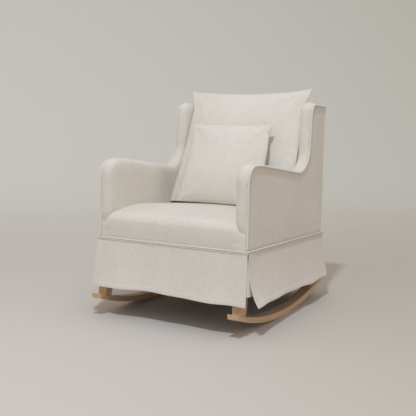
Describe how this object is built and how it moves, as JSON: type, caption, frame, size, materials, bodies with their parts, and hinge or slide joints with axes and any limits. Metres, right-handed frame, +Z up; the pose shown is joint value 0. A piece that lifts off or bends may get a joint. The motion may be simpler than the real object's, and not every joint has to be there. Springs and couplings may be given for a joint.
{
  "type": "rocking chair",
  "caption": "Upholstered wing-back nursery rocking chair with a skirt, bent wooden runners, a loose back cushion and a loose pillow.",
  "frame": {"origin": "on the floor at the lowest line of the runners, midway between them, which is also the bottom centre of the whole object", "axes": "+Z up, front of the chair towards -Y, sitter's left towards +X"},
  "size_m": [0.8504, 0.902, 1.0045],
  "materials": {
    "oak": "satin",
    "frame_timber": "matte",
    "steel": "satin",
    "zip_metal": "satin",
    "zip_tape": "matte",
    "foam": "matte",
    "fibre_bag": "matte",
    "webbing": "matte",
    "deck_cloth": "matte",
    "dust_cloth": "matte",
    "linen_piping": "matte",
    "linen_skirt": "matte",
    "linen_cushion": "matte",
    "linen": "matte"
  },
  "bodies": {
    "chair": {"left_runner": "oak", "right_runner": "oak", "front_left_leg": "oak", "front_right_leg": "oak", "rear_left_leg": "oak", "rear_right_leg": "oak", "leg_plates": "steel", "leg_bolts": "steel", "leg_nuts": "steel", "runner_screws": "steel", "front_seat_rail": "frame_timber", "back_seat_rail": "frame_timber", "left_seat_rail": "frame_timber", "right_seat_rail": "frame_timber", "spring_rail": "frame_timber", "leg_blocks": "frame_timber", "seat_springs": "steel", "spring_clips": "steel", "seat_deck": "deck_cloth", "seat_foam": "foam", "seat_cover": "linen", "dust_cover": "dust_cloth", "left_front_post": "frame_timber", "right_front_post": "frame_timber", "left_arm_rail": "frame_timber", "right_arm_rail": "frame_timber", "left_wing_board": "frame_timber", "right_wing_board": "frame_timber", "left_back_post": "frame_timber", "right_back_post": "frame_timber", "left_back_stay": "frame_timber", "right_back_stay": "frame_timber", "top_back_rail": "frame_timber", "lower_back_rail": "frame_timber", "back_webbing": "webbing", "back_foam": "foam", "inside_back_cover": "linen", "outside_back_cover": "linen", "left_arm_foam": "foam", "right_arm_foam": "foam", "left_inside_cover": "linen", "right_inside_cover": "linen", "left_outside_cover": "linen", "right_outside_cover": "linen", "left_piping": "linen_piping", "right_piping": "linen_piping", "skirt_welt": "linen_piping", "front_skirt": "linen_skirt", "left_skirt": "linen_skirt", "right_skirt": "linen_skirt", "back_skirt": "linen_skirt", "skirt_underlays": "linen_skirt"},
    "back_cushion": {"back_cushion_cover": "linen_cushion", "back_cushion_bag": "fibre_bag", "back_cushion_zip": "zip_tape"},
    "pillow": {"pillow_cover": "linen_cushion", "pillow_bag": "fibre_bag", "pillow_zip": "zip_tape"},
    "back_cushion_zip_slider": {"back_cushion_slider": "zip_metal"},
    "pillow_zip_slider": {"pillow_slider": "zip_metal"}
  },
  "joints": [
    {"name": "back_cushion_lift", "type": "slide", "parent": "chair", "child": "back_cushion", "axis": [0, 0.3762, 0.9265], "range_m": [0, 0.6]},
    {"name": "pillow_lift", "type": "slide", "parent": "chair", "child": "pillow", "axis": [0, 0.3762, 0.9265], "range_m": [0, 0.45]},
    {"name": "back_cushion_zip_travel", "type": "slide", "parent": "back_cushion", "child": "back_cushion_zip_slider", "axis": [1, 0, 0], "range_m": [0, 0.41]},
    {"name": "pillow_zip_travel", "type": "slide", "parent": "pillow", "child": "pillow_zip_slider", "axis": [1, 0, 0], "range_m": [0, 0.27]}
  ]
}
